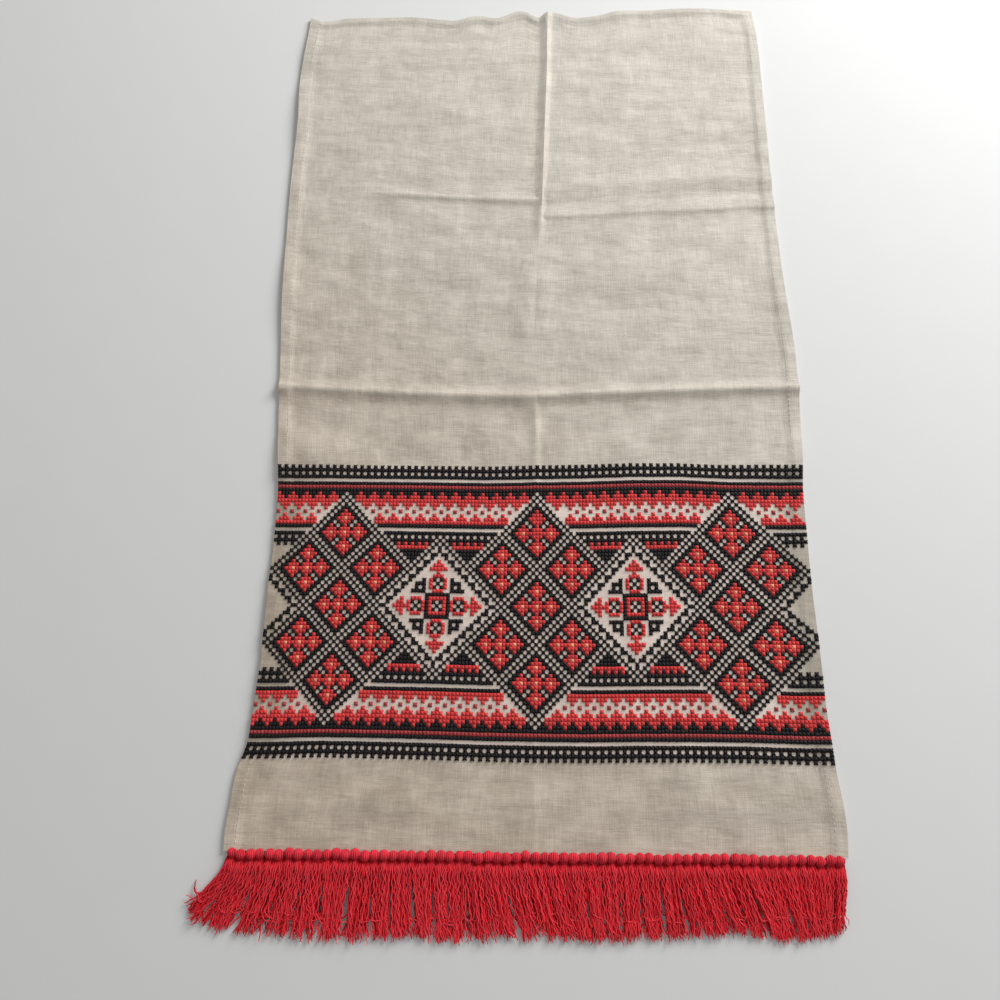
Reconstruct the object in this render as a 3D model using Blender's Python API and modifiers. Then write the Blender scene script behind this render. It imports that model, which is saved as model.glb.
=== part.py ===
"""Rushnyk, a ritual towel laid flat: a hemmed linen panel with fold creases, and a knotted yarn fringe.

Metres, +Z up. The fringed end is at -Y, +X is to the right, and the underside rests on Z = 0.
The origin is on the underside, midway along the panel, beside the crease that runs its length.
"""

import math
import random
from collections import namedtuple

import bmesh
import bpy
import numpy as np

NAME = "Rushnyk towel"

# Cloth thicknesses: one layer, one layer under cross-stitch, and the turned hems
PLAIN_THICK = 0.0012
STITCHED_THICK = 0.0016
HEM_THICK = 0.0021
SIDE_HEM_WIDTH = 0.0085
TOP_HEM_WIDTH = 0.006
THICKNESS_STEP = 0.0012

# The panel's usual width, its ends along Y and those of the embroidered band
PANEL_WIDTH = 0.380
PANEL_TOP = 0.329
PANEL_BOTTOM = -0.3291
BOTTOM_TURN = -0.0118
BAND_TOP = -0.0780
BAND_BOTTOM = -0.2757
COLUMN_SPACING = 0.0145
ROW_SPACING = 0.0150

# Outline: how far each side edge lies from the middle line. The stitched band draws the linen in.
SideEdge = namedtuple("SideEdge", "along left right")
SIDE_EDGES = (
    SideEdge(-0.331, -0.1953, 0.1858),
    SideEdge(-0.318, -0.1955, 0.1873),
    SideEdge(-0.300, -0.1937, 0.1871),
    SideEdge(-0.280, -0.1915, 0.1850),
    SideEdge(-0.266, -0.1868, 0.1845),
    SideEdge(-0.245, -0.1848, 0.1834),
    SideEdge(-0.215, -0.1826, 0.1833),
    SideEdge(-0.170, -0.1820, 0.1832),
    SideEdge(-0.130, -0.1806, 0.1840),
    SideEdge(-0.095, -0.1808, 0.1851),
    SideEdge(-0.047, -0.1852, 0.1893),
    SideEdge(-0.012, -0.1871, 0.1911),
    SideEdge(0.089, -0.1912, 0.1888),
    SideEdge(0.160, -0.1918, 0.1887),
    SideEdge(0.215, -0.1905, 0.1895),
    SideEdge(0.257, -0.1920, 0.1908),
    SideEdge(0.310, -0.1885, 0.1903),
    SideEdge(0.336, -0.1874, 0.1885),
)

# The plain end is not cut straight: its edge wanders, and its left corner turns up to a point.
TopEdge = namedtuple("TopEdge", "across along")
TOP_EDGE = (
    TopEdge(-0.190, 0.3268),
    TopEdge(-0.178, 0.3219),
    TopEdge(-0.157, 0.3245),
    TopEdge(-0.131, 0.3256),
    TopEdge(-0.097, 0.3259),
    TopEdge(-0.078, 0.3237),
    TopEdge(-0.065, 0.3225),
    TopEdge(-0.045, 0.3281),
    TopEdge(-0.031, 0.3253),
    TopEdge(-0.005, 0.3327),
    TopEdge(0.007, 0.3258),
    TopEdge(0.017, 0.3309),
    TopEdge(0.037, 0.3260),
    TopEdge(0.060, 0.3290),
    TopEdge(0.071, 0.3326),
    TopEdge(0.098, 0.3336),
    TopEdge(0.125, 0.3358),
    TopEdge(0.150, 0.3357),
    TopEdge(0.170, 0.3341),
    TopEdge(0.191, 0.3329),
)
EDGE_FADE = 0.060

# The crease along the panel. It stands up as a ridge at the plain end, then lies between two low banks,
# and is a faint ridge again from the lower crease on. It runs `across` from the middle line.
LongCrease = namedtuple("LongCrease", "along across ridge banks")
LONG_CREASE = (
    LongCrease(-0.331, -0.0052, 0.0005, 0.0),
    LongCrease(-0.240, -0.0036, 0.0004, 0.0),
    LongCrease(-0.130, -0.0012, 0.0004, 0.0),
    LongCrease(-0.078, -0.0004, 0.0009, 0.0),
    LongCrease(-0.031, -0.0007, 0.0010, 0.0),
    LongCrease(-0.018, -0.0010, 0.0, 0.0),
    LongCrease(0.014, -0.0008, 0.0, 0.0),
    LongCrease(0.036, -0.0002, 0.0, 0.0010),
    LongCrease(0.062, 0.0005, 0.0, 0.0009),
    LongCrease(0.098, 0.0032, 0.0004, 0.0003),
    LongCrease(0.125, 0.0055, 0.0021, 0.0),
    LongCrease(0.161, 0.0076, 0.0025, 0.0),
    LongCrease(0.212, 0.0099, 0.0026, 0.0),
    LongCrease(0.264, 0.0124, 0.0027, 0.0),
    LongCrease(0.336, 0.0145, 0.0029, 0.0),
)
RIDGE_LEFT = 0.0066
RIDGE_LEFT_BEND = 1.25
RIDGE_RIGHT = 0.0050
RIDGE_RIGHT_BEND = 1.7
BANKS_FROM = 0.0055
BANKS_TO = 0.0240
CREASE_SHARE = 0.512

# Ridges across the panel, left where it was folded. Each starts `along` at the long crease and climbs towards
# its hem: by `climb` until it is `over` from the crease, along a line with that `bend`. It falls away over
# `far` towards the plain end and over `near` towards the fringe, the more hollow the greater their bends, and
# it dies out by `until` from the crease.
CrossCrease = namedtuple("CrossCrease", "side along climb over bend far far_bend near near_bend until height")
LOWER_LEFT = CrossCrease("left", -0.0254, 0.0073, 0.175, 1.8, 0.0105, 2.0, 0.0100, 2.0, 0.40, 0.0028)
LOWER_RIGHT = CrossCrease("right", -0.0254, 0.0064, 0.150, 0.9, 0.0105, 2.0, 0.0088, 2.0, 0.40, 0.0027)
UPPER_LEFT = CrossCrease("left", 0.1418, 0.0076, 0.131, 1.8, 0.0090, 2.0, 0.0062, 2.0, 0.150, 0.0018)
UPPER_RIGHT = CrossCrease("right", 0.1268, 0.0090, 0.160, 1.1, 0.0120, 1.1, 0.0052, 2.0, 0.40, 0.0013)
UPPER_SWELL = CrossCrease("right", 0.1500, 0.0125, 0.100, 1.0, 0.0190, 2.0, 0.0110, 0.8, 0.40, 0.0016)
CROSS_CREASES = (LOWER_LEFT, LOWER_RIGHT, UPPER_LEFT, UPPER_RIGHT, UPPER_SWELL)

# The mesh's rows climb with the creases, fully between the middle two places and not beyond the outer two.
ClimbZone = namedtuple("ClimbZone", "left right start full_from full_to end")
CLIMB_ZONES = (
    ClimbZone(LOWER_LEFT, LOWER_RIGHT, -0.076, -0.036, -0.014, 0.050),
    ClimbZone(UPPER_LEFT, UPPER_RIGHT, 0.055, 0.115, 0.160, 0.280),
)

# Low swells between the places where the cloth touches the table
Swell = namedtuple("Swell", "across along wide long height")
SWELLS = (
    Swell(-0.160, 0.290, 0.050, 0.034, 0.0017),
    Swell(0.160, 0.304, 0.055, 0.036, 0.0019),
    Swell(0.070, 0.262, 0.060, 0.028, 0.0010),
    Swell(-0.078, 0.236, 0.055, 0.032, 0.0011),
    Swell(-0.192, 0.222, 0.036, 0.046, 0.0018),
    Swell(0.186, 0.205, 0.032, 0.050, 0.0014),
    Swell(-0.064, 0.086, 0.044, 0.026, 0.0013),
    Swell(0.092, 0.078, 0.062, 0.034, 0.0011),
    Swell(-0.196, 0.060, 0.034, 0.052, 0.0015),
    Swell(-0.158, -0.072, 0.058, 0.026, 0.0020),
    Swell(0.168, -0.072, 0.050, 0.026, 0.0020),
    Swell(0.010, -0.070, 0.080, 0.020, 0.0012),
    Swell(-0.192, -0.190, 0.026, 0.060, 0.0012),
    Swell(0.190, -0.205, 0.026, 0.055, 0.0012),
    Swell(-0.100, -0.300, 0.060, 0.018, 0.0009),
    Swell(0.120, -0.304, 0.070, 0.018, 0.0009),
)

# Fringe: lark's-head knots side by side along the fringed end, each letting go a few locks of yarn
KNOT_COUNT = 65
LOCKS_PER_KNOT = 3
FRINGE_LEFT = -0.1930
FRINGE_RIGHT = 0.1838
CLOTH_GAP = 0.0004
KNOT_DEPTH = 0.0054
KNOT_HEIGHT = 0.0040
BETWEEN_KNOTS_HEIGHT = 0.0025
LOCK_GAP = 0.00040
LOCK_STEPS = 3
LOCK_WIDEST = 0.0016
LOCK_NARROWEST = 0.0005
LOCK_ROOT_HEIGHT = 0.0024
LOCK_TIP_HEIGHT = 0.0013
LOCK_TAPER = 0.25
LEAN_CURVE = 1.15
LOCK_UNEVEN = 0.12
LOCK_SHORTER_BY = 0.0030
WAVE_SIZE = 0.0009
WAVE_TURNS = 1.2
WAVE_DRIFT = 90.0
CLUMP_PULL = 0.13

# The section of a knot, from the strip's back to its front: shares of a knot's depth and height
KnotCorner = namedtuple("KnotCorner", "forward up")
KNOT_CORNERS = (
    KnotCorner(0.00, 0.00),
    KnotCorner(0.08, 0.72),
    KnotCorner(0.45, 1.00),
    KnotCorner(0.90, 0.64),
    KnotCorner(1.00, 0.00),
)

# How the fringe lies: from the knot at `across`, the tips end `lean` to the side and `reach` further out.
Sweep = namedtuple("Sweep", "across lean reach")
SWEEPS = (
    Sweep(-0.194, -0.0205, 0.0262),
    Sweep(-0.186, -0.0225, 0.0338),
    Sweep(-0.172, -0.0165, 0.0388),
    Sweep(-0.156, -0.0095, 0.0410),
    Sweep(-0.118, -0.0050, 0.0430),
    Sweep(-0.076, 0.0020, 0.0415),
    Sweep(-0.050, 0.0010, 0.0425),
    Sweep(-0.028, 0.0080, 0.0400),
    Sweep(0.000, 0.0085, 0.0405),
    Sweep(0.030, 0.0030, 0.0415),
    Sweep(0.058, 0.0010, 0.0405),
    Sweep(0.086, 0.0070, 0.0385),
    Sweep(0.104, 0.0105, 0.0375),
    Sweep(0.128, 0.0105, 0.0390),
    Sweep(0.145, 0.0065, 0.0400),
    Sweep(0.160, 0.0020, 0.0385),
    Sweep(0.172, -0.0025, 0.0365),
    Sweep(0.184, -0.0080, 0.0340),
)
CLUMP_MIDDLES = (
    -0.186, -0.160, -0.136, -0.108, -0.090, -0.066, -0.044, -0.018, 0.006,
    0.032, 0.056, 0.080, 0.100, 0.120, 0.137, 0.156, 0.176,
)


def smooth_curve(table, at_column, value_column, at):
    """Reads a table as a smooth curve: a cubic between each pair of rows, with its neighbours' slope."""
    places = np.array([getattr(row, at_column) for row in table])
    values = np.array([getattr(row, value_column) for row in table])
    slopes = np.gradient(values, places)
    at = min(max(at, places[0]), places[-1])
    i = min(int(np.searchsorted(places, at, side="right")) - 1, len(places) - 2)
    step = places[i + 1] - places[i]
    t = (at - places[i]) / step
    rise = (
        (2 * t**3 - 3 * t**2 + 1) * values[i]
        + (t**3 - 2 * t**2 + t) * step * slopes[i]
        + (3 * t**2 - 2 * t**3) * values[i + 1]
        + (t**3 - t**2) * step * slopes[i + 1]
    )
    return float(rise)


def bell(distance, spread):
    """A smooth rise and fall that is 1 at the middle and exactly 0 from the spread outwards."""
    t = distance / spread
    return (1.0 - t * t) ** 2 if abs(t) < 1.0 else 0.0


def crest(distance, above, above_bend, below, below_bend):
    """A sharp crest that is 1 at the middle and falls to 0 over its own width on each side."""
    if distance > 0.0:
        return max(0.0, 1.0 - distance / above) ** above_bend
    return max(0.0, 1.0 + distance / below) ** below_bend


def ease(low, high, value):
    """0 at low, 1 at high, with soft ends."""
    t = min(max((value - low) / (high - low), 0.0), 1.0)
    return t * t * (3.0 - 2.0 * t)


def bottom_edge(across):
    """The fringed end is straight and runs a little downhill to the right."""
    return PANEL_BOTTOM + BOTTOM_TURN * across


def crease_across(along):
    """Where the long crease runs."""
    return smooth_curve(LONG_CREASE, "along", "across", along)


def crease_climb(crease, distance):
    """How far a cross crease has climbed at this distance from the long crease."""
    return crease.climb * min(distance / crease.over, 1.0) ** crease.bend


def underside(across, along):
    """Height of the cloth's underside over the table, 0 where it touches."""
    from_crease = across - crease_across(along)
    distance = abs(from_crease)
    ridge = max(0.0, smooth_curve(LONG_CREASE, "along", "ridge", along))
    lift = ridge * crest(from_crease, RIDGE_RIGHT, RIDGE_RIGHT_BEND, RIDGE_LEFT, RIDGE_LEFT_BEND)
    for crease in CROSS_CREASES:
        if crease.side == "left" and from_crease > 0.0 or crease.side == "right" and from_crease < 0.0:
            continue
        from_crest = along - crease.along - crease_climb(crease, distance)
        dying = 1.0 - ease(0.6 * crease.until, crease.until, distance)
        share = crest(from_crest, crease.far, crease.far_bend, crease.near, crease.near_bend)
        lift = max(lift, crease.height * dying * share)
    banks = max(0.0, smooth_curve(LONG_CREASE, "along", "banks", along))
    lift += banks * ease(-BANKS_FROM, BANKS_FROM, distance) * (1.0 - ease(BANKS_FROM, BANKS_TO, distance))
    for swell in SWELLS:
        reach = math.hypot((across - swell.across) / swell.wide, (along - swell.along) / swell.long)
        lift += swell.height * bell(reach, 1.0)
    return lift


def panel_point(share_across, along):
    """A place on the panel seen from above: share_across is 0 at the left edge and 1 at the right edge."""
    left = smooth_curve(SIDE_EDGES, "along", "left", along)
    right = smooth_curve(SIDE_EDGES, "along", "right", along)
    bend = crease_across(along) - (left + CREASE_SHARE * (right - left))
    beside = CREASE_SHARE if share_across < CREASE_SHARE else 1.0 - CREASE_SHARE
    bend_share = 1.0 - abs(share_across - CREASE_SHARE) / beside
    across = left + share_across * (right - left) + bend * bend_share
    from_crease = across - crease_across(along)
    climb = 0.0
    for zone in CLIMB_ZONES:
        crease = zone.left if from_crease < 0.0 else zone.right
        zone_share = ease(zone.start, zone.full_from, along) * (1.0 - ease(zone.full_to, zone.end, along))
        climb += zone_share * crease_climb(crease, abs(from_crease))
    top_share = ease(PANEL_TOP - EDGE_FADE, PANEL_TOP, along)
    bottom_share = ease(PANEL_BOTTOM + EDGE_FADE, PANEL_BOTTOM, along)
    along += climb + top_share * (smooth_curve(TOP_EDGE, "across", "along", across) - PANEL_TOP)
    along += bottom_share * (bottom_edge(across) - PANEL_BOTTOM)
    return across, along


def evenly(low, high, spacing):
    """Places from low to high, no further apart than the spacing."""
    count = max(1, math.ceil((high - low) / spacing - 1e-6))
    return [low + (high - low) * i / count for i in range(count + 1)]


def column_shares():
    """Where the mesh's columns run: both hems, the crease, and evenly between them."""
    hem = SIDE_HEM_WIDTH / PANEL_WIDTH
    step = THICKNESS_STEP / PANEL_WIDTH
    spacing = COLUMN_SPACING / PANEL_WIDTH
    left_foot = CREASE_SHARE - RIDGE_LEFT / PANEL_WIDTH
    right_foot = CREASE_SHARE + RIDGE_RIGHT / PANEL_WIDTH
    shares = [0.0, hem, 1.0 - hem, 1.0]
    shares += evenly(hem + step, left_foot, spacing)
    shares += [(left_foot + CREASE_SHARE) / 2, CREASE_SHARE, (right_foot + CREASE_SHARE) / 2]
    shares += evenly(right_foot, 1.0 - hem - step, spacing)
    return sorted(shares)


def row_places():
    """Where the mesh's rows run: the top hem, both ends of the stitching, and close over the creases."""
    hem_line = PANEL_TOP - TOP_HEM_WIDTH
    places = [PANEL_TOP, hem_line]
    places += evenly(PANEL_BOTTOM, BAND_BOTTOM, ROW_SPACING)
    places += evenly(BAND_BOTTOM + THICKNESS_STEP, BAND_TOP - THICKNESS_STEP, ROW_SPACING)
    lower = crease_rows(LOWER_LEFT)
    upper = crease_rows(UPPER_RIGHT) + crease_rows(UPPER_LEFT)[1:] + crease_rows(UPPER_SWELL)[2:]
    places += evenly(BAND_TOP, lower[0], ROW_SPACING)[:-1] + lower
    places += evenly(lower[-1], upper[0], ROW_SPACING)[1:-1] + upper
    places += evenly(upper[-1], hem_line - THICKNESS_STEP, ROW_SPACING)[1:]
    return sorted(places)


def crease_rows(crease):
    """Rows over one cross crease: its crest, its two feet and halfway down each side."""
    return [
        crease.along - crease.near,
        crease.along - crease.near / 2,
        crease.along,
        crease.along + crease.far / 2,
        crease.along + crease.far,
    ]


def thickness_share(share_across, along, hem_share):
    """How much of the hem's thickness the cloth has here."""
    in_side_hem = min(share_across, 1.0 - share_across) <= hem_share + 1e-6
    in_top_hem = along >= PANEL_TOP - TOP_HEM_WIDTH - 1e-6
    if in_side_hem or in_top_hem:
        return 1.0
    stitched = BAND_BOTTOM < along < BAND_TOP
    return (STITCHED_THICK if stitched else PLAIN_THICK) / HEM_THICK


def material(name, color, roughness):
    """A plain finish for one sub-part."""
    finish = bpy.data.materials.new(name)
    finish.use_nodes = True
    shader = finish.node_tree.nodes["Principled BSDF"]
    shader.inputs["Base Color"].default_value = color
    shader.inputs["Roughness"].default_value = roughness
    shader.inputs["Metallic"].default_value = 0.0
    return finish


def add_object(name, bm, collection, finish):
    """Makes a named object from a bmesh."""
    mesh = bpy.data.meshes.new(name)
    bm.to_mesh(mesh)
    bm.free()
    mesh.materials.append(finish)
    obj = bpy.data.objects.new(name, mesh)
    collection.objects.link(obj)
    return obj


def build_cloth(collection):
    """The linen panel: an open grid shaped as the underside, given its thickness by Solidify."""
    shares = column_shares()
    places = row_places()
    hem_share = shares[1]
    bm = bmesh.new()
    bmesh.ops.create_grid(bm, x_segments=len(shares) - 1, y_segments=len(places) - 1, size=0.5)
    weights = []
    for vertex in bm.verts:
        share = shares[round((vertex.co.x + 0.5) * (len(shares) - 1))]
        place = places[round((vertex.co.y + 0.5) * (len(places) - 1))]
        across, along = panel_point(share, place)
        vertex.co = (across, along, underside(across, along))
        weights.append(thickness_share(share, place, hem_share))
    cloth = add_object("cloth", bm, collection, material("linen", (0.60, 0.56, 0.47, 1.0), 0.9))
    layers = cloth.vertex_groups.new(name="layers")
    for index, weight in enumerate(weights):
        layers.add([index], weight, "REPLACE")
    shell = cloth.modifiers.new("Cloth thickness", "SOLIDIFY")
    shell.thickness = HEM_THICK
    shell.offset = 1.0
    shell.vertex_group = layers.name
    shell.thickness_vertex_group = 0.0
    cloth.data.shade_smooth()
    return cloth


def fringe_across(column):
    """The X of a column of the knotted strip, counted in locks from the left."""
    return FRINGE_LEFT + (FRINGE_RIGHT - FRINGE_LEFT) * column / (KNOT_COUNT * LOCKS_PER_KNOT)


def knot_section(column):
    """The corners of the strip's section, up its back, over its crown and down its front."""
    across = fringe_across(column)
    back = bottom_edge(across) - CLOTH_GAP
    height = BETWEEN_KNOTS_HEIGHT if column % LOCKS_PER_KNOT == 0 else KNOT_HEIGHT
    return [(across, back - corner.forward * KNOT_DEPTH, corner.up * height) for corner in KNOT_CORNERS]


def lock_centre(lock, share):
    """The middle line of a lock on the table, at a share of its way from root to tip."""
    root = fringe_across(lock + 0.5)
    lean = smooth_curve(SWEEPS, "across", "lean", root)
    reach = smooth_curve(SWEEPS, "across", "reach", root)
    clump = min(CLUMP_MIDDLES, key=lambda middle: abs(middle - root))
    wave = WAVE_SIZE * math.sin(math.tau * WAVE_TURNS * share + WAVE_DRIFT * root) * share
    sideways = lean * share**LEAN_CURVE + wave + CLUMP_PULL * (clump - root) * share
    return np.array((root + sideways, bottom_edge(root) - CLOTH_GAP - KNOT_DEPTH - reach * share))


def lock_across(lock, share):
    """The unit direction across a lock, to its right."""
    run = lock_centre(lock, share + 0.02) - lock_centre(lock, share - 0.02)
    run /= np.linalg.norm(run)
    return np.array((-run[1], run[0]))


def lock_width(lock, share):
    """As wide as its neighbours leave room for, less the gap."""
    rightwards = lock_across(lock, share)
    middle = lock_centre(lock, share)
    last = KNOT_COUNT * LOCKS_PER_KNOT - 1
    rooms = [
        abs(float(np.dot(lock_centre(beside, share) - middle, rightwards)))
        for beside in (lock - 1, lock + 1)
        if 0 <= beside <= last
    ]
    return min(max(min(rooms) - LOCK_GAP, LOCK_NARROWEST), LOCK_WIDEST) * (1.0 - LOCK_TAPER * share)


def grow_lock(bm, face, lock, length_share, height_share):
    """Extrudes a lock from its root face, section by section, along its middle line."""
    for step in range(1, LOCK_STEPS + 1):
        share = length_share * step / LOCK_STEPS
        face = bmesh.ops.extrude_discrete_faces(bm, faces=[face])["faces"][0]
        middle = lock_centre(lock, share)
        sideways = lock_across(lock, share) * lock_width(lock, share) / 2
        height = (LOCK_ROOT_HEIGHT + (LOCK_TIP_HEIGHT - LOCK_ROOT_HEIGHT) * share) * height_share
        by_height = sorted(face.verts, key=lambda vertex: vertex.co.z)
        for corners, level in ((by_height[:2], 0.0), (by_height[2:], height)):
            left, right = sorted(corners, key=lambda vertex: vertex.co.x)
            left.co = (*(middle - sideways), level)
            right.co = (*(middle + sideways), level)


def build_fringe(collection):
    """The yarn fringe: a strip of knots beside the cloth's edge, with the locks grown out of its front."""
    chance = random.Random(7)
    columns = KNOT_COUNT * LOCKS_PER_KNOT
    corners = len(KNOT_CORNERS)
    front_corners = {corners - 2, corners - 1}
    bm = bmesh.new()
    bmesh.ops.create_grid(bm, x_segments=columns, y_segments=corners, size=0.5)
    corner_layer = bm.verts.layers.int.new("corner")
    for vertex in bm.verts:
        column = round((vertex.co.x + 0.5) * columns)
        corner = round((vertex.co.y + 0.5) * corners) % corners
        vertex[corner_layer] = corner
        vertex.co = knot_section(column)[corner]
    bmesh.ops.remove_doubles(bm, verts=bm.verts, dist=0.00001)
    bmesh.ops.holes_fill(bm, edges=[edge for edge in bm.edges if edge.is_boundary], sides=0)
    bmesh.ops.recalc_face_normals(bm, faces=bm.faces)
    roots = [face for face in bm.faces if {vertex[corner_layer] for vertex in face.verts} == front_corners]
    roots.sort(key=lambda face: face.calc_center_median().x)
    bmesh.ops.inset_individual(bm, faces=roots, thickness=LOCK_GAP / 2)
    for lock, face in enumerate(roots):
        length_share = 1.0 - chance.random() * LOCK_SHORTER_BY / smooth_curve(
            SWEEPS, "across", "reach", fringe_across(lock + 0.5)
        )
        height_share = 1.0 + LOCK_UNEVEN * chance.uniform(-1.0, 1.0)
        grow_lock(bm, face, lock, length_share, height_share)
    return add_object("fringe", bm, collection, material("red_yarn", (0.52, 0.025, 0.035, 1.0), 0.85))


def main():
    for obj in list(bpy.data.objects):
        bpy.data.objects.remove(obj, do_unlink=True)
    collection = bpy.data.collections.new(NAME)
    bpy.context.scene.collection.children.link(collection)
    build_cloth(collection)
    build_fringe(collection)


if __name__ == "__main__":
    main()
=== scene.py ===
import math
import random
from collections import namedtuple

import bmesh
import bpy
import numpy as np
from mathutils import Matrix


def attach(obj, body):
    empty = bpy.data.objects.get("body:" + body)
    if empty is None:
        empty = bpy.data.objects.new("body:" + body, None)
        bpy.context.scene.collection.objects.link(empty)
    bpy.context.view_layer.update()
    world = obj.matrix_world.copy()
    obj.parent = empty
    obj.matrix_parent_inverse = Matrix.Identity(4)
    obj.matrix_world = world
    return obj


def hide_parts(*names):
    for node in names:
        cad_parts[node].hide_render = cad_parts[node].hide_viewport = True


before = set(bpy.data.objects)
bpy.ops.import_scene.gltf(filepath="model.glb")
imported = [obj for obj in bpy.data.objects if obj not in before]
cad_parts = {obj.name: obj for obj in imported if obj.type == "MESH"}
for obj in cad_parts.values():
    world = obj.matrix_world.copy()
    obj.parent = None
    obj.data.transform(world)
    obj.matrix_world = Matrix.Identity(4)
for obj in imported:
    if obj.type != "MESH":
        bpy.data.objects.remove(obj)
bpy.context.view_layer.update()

bl_info = {
    "name": "Rushnyk towel",
    "version": (1, 0, 0),
    "blender": (4, 5, 0),
    "location": "View3D > Sidebar > Rushnyk",
    "description": "An embroidered linen towel with a knotted yarn fringe, laid flat",
    "category": "Object",
}


def table(columns, *rows):
    """A table whose columns have names."""
    Row = namedtuple("Row", columns)
    return tuple(Row(*row) for row in rows)


# The panel's usual width, and its ends along Y
PANEL_WIDTH = 0.380
PANEL_TOP = 0.329
PANEL_BOTTOM = -0.3291
# The slope of the fringed end, and how far the shape of each end carries into the panel
BOTTOM_TURN = -0.0118
EDGE_FADE = 0.060

# How far each side edge lies from the middle line. The stitched band draws the linen in.
SIDE_EDGES = table(
    "along left right",
    (-0.331, -0.1953, 0.1858),
    (-0.318, -0.1955, 0.1873),
    (-0.300, -0.1937, 0.1871),
    (-0.280, -0.1915, 0.1850),
    (-0.266, -0.1868, 0.1845),
    (-0.245, -0.1848, 0.1834),
    (-0.215, -0.1826, 0.1833),
    (-0.170, -0.1820, 0.1832),
    (-0.130, -0.1806, 0.1840),
    (-0.095, -0.1808, 0.1851),
    (-0.047, -0.1852, 0.1893),
    (-0.012, -0.1871, 0.1911),
    (0.089, -0.1912, 0.1888),
    (0.160, -0.1918, 0.1887),
    (0.215, -0.1905, 0.1895),
    (0.257, -0.1920, 0.1908),
    (0.310, -0.1885, 0.1903),
    (0.336, -0.1874, 0.1885),
)

# The plain end is not cut straight: its edge wanders, and its left corner turns up to a point.
TOP_EDGE = table(
    "across along",
    (-0.190, 0.3268),
    (-0.178, 0.3219),
    (-0.157, 0.3245),
    (-0.131, 0.3256),
    (-0.097, 0.3259),
    (-0.078, 0.3237),
    (-0.065, 0.3225),
    (-0.045, 0.3281),
    (-0.031, 0.3253),
    (-0.005, 0.3327),
    (0.007, 0.3258),
    (0.017, 0.3309),
    (0.037, 0.3260),
    (0.060, 0.3290),
    (0.071, 0.3326),
    (0.098, 0.3336),
    (0.125, 0.3358),
    (0.150, 0.3357),
    (0.170, 0.3341),
    (0.191, 0.3329),
)

# The crease along the panel. It stands up as a ridge at the plain end, then lies between two low banks,
# and is a faint ridge again from the lower crease on. It runs `across` from the middle line.
LONG_CREASE = table(
    "along across ridge banks",
    (-0.331, -0.0052, 0.0005, 0.0),
    (-0.240, -0.0036, 0.0004, 0.0),
    (-0.130, -0.0012, 0.0004, 0.0),
    (-0.078, -0.0004, 0.0009, 0.0),
    (-0.031, -0.0007, 0.0010, 0.0),
    (-0.018, -0.0010, 0.0, 0.0),
    (0.014, -0.0008, 0.0, 0.0),
    (0.036, -0.0002, 0.0, 0.0010),
    (0.062, 0.0005, 0.0, 0.0009),
    (0.098, 0.0032, 0.0004, 0.0003),
    (0.125, 0.0055, 0.0021, 0.0),
    (0.161, 0.0076, 0.0025, 0.0),
    (0.212, 0.0099, 0.0026, 0.0),
    (0.264, 0.0124, 0.0027, 0.0),
    (0.336, 0.0145, 0.0029, 0.0),
)
# The ridge's width and bend on each side, the banks' reach, and the share of the width left of the crease
RIDGE_LEFT = 0.0066
RIDGE_LEFT_BEND = 1.25
RIDGE_RIGHT = 0.0050
RIDGE_RIGHT_BEND = 1.7
BANKS_FROM = 0.0055
BANKS_TO = 0.0240
CREASE_SHARE = 0.512

# Ridges across the panel, left where it was folded. Each starts `along` at the long crease and climbs towards
# its hem: by `climb` until it is `over` from the crease, along a line with that `bend`. It falls away over
# `far` towards the plain end and over `near` towards the fringe, the more hollow the greater their bends, and
# it dies out by `until` from the crease.
CrossCrease = namedtuple("CrossCrease", "side along climb over bend far far_bend near near_bend until height")
LOWER_LEFT = CrossCrease("left", -0.0254, 0.0073, 0.175, 1.8, 0.0105, 2.0, 0.0100, 2.0, 0.40, 0.0028)
LOWER_RIGHT = CrossCrease("right", -0.0254, 0.0064, 0.150, 0.9, 0.0105, 2.0, 0.0088, 2.0, 0.40, 0.0027)
UPPER_LEFT = CrossCrease("left", 0.1418, 0.0076, 0.131, 1.8, 0.0090, 2.0, 0.0062, 2.0, 0.150, 0.0018)
UPPER_RIGHT = CrossCrease("right", 0.1268, 0.0090, 0.160, 1.1, 0.0120, 1.1, 0.0052, 2.0, 0.40, 0.0013)
UPPER_SWELL = CrossCrease("right", 0.1500, 0.0125, 0.100, 1.0, 0.0190, 2.0, 0.0110, 0.8, 0.40, 0.0016)
CROSS_CREASES = (LOWER_LEFT, LOWER_RIGHT, UPPER_LEFT, UPPER_RIGHT, UPPER_SWELL)

# The panel's rows climb with the creases, fully between the middle two places and not beyond the outer two.
CLIMB_ZONES = table(
    "left right start full_from full_to end",
    (LOWER_LEFT, LOWER_RIGHT, -0.076, -0.036, -0.014, 0.050),
    (UPPER_LEFT, UPPER_RIGHT, 0.055, 0.115, 0.160, 0.280),
)

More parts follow.
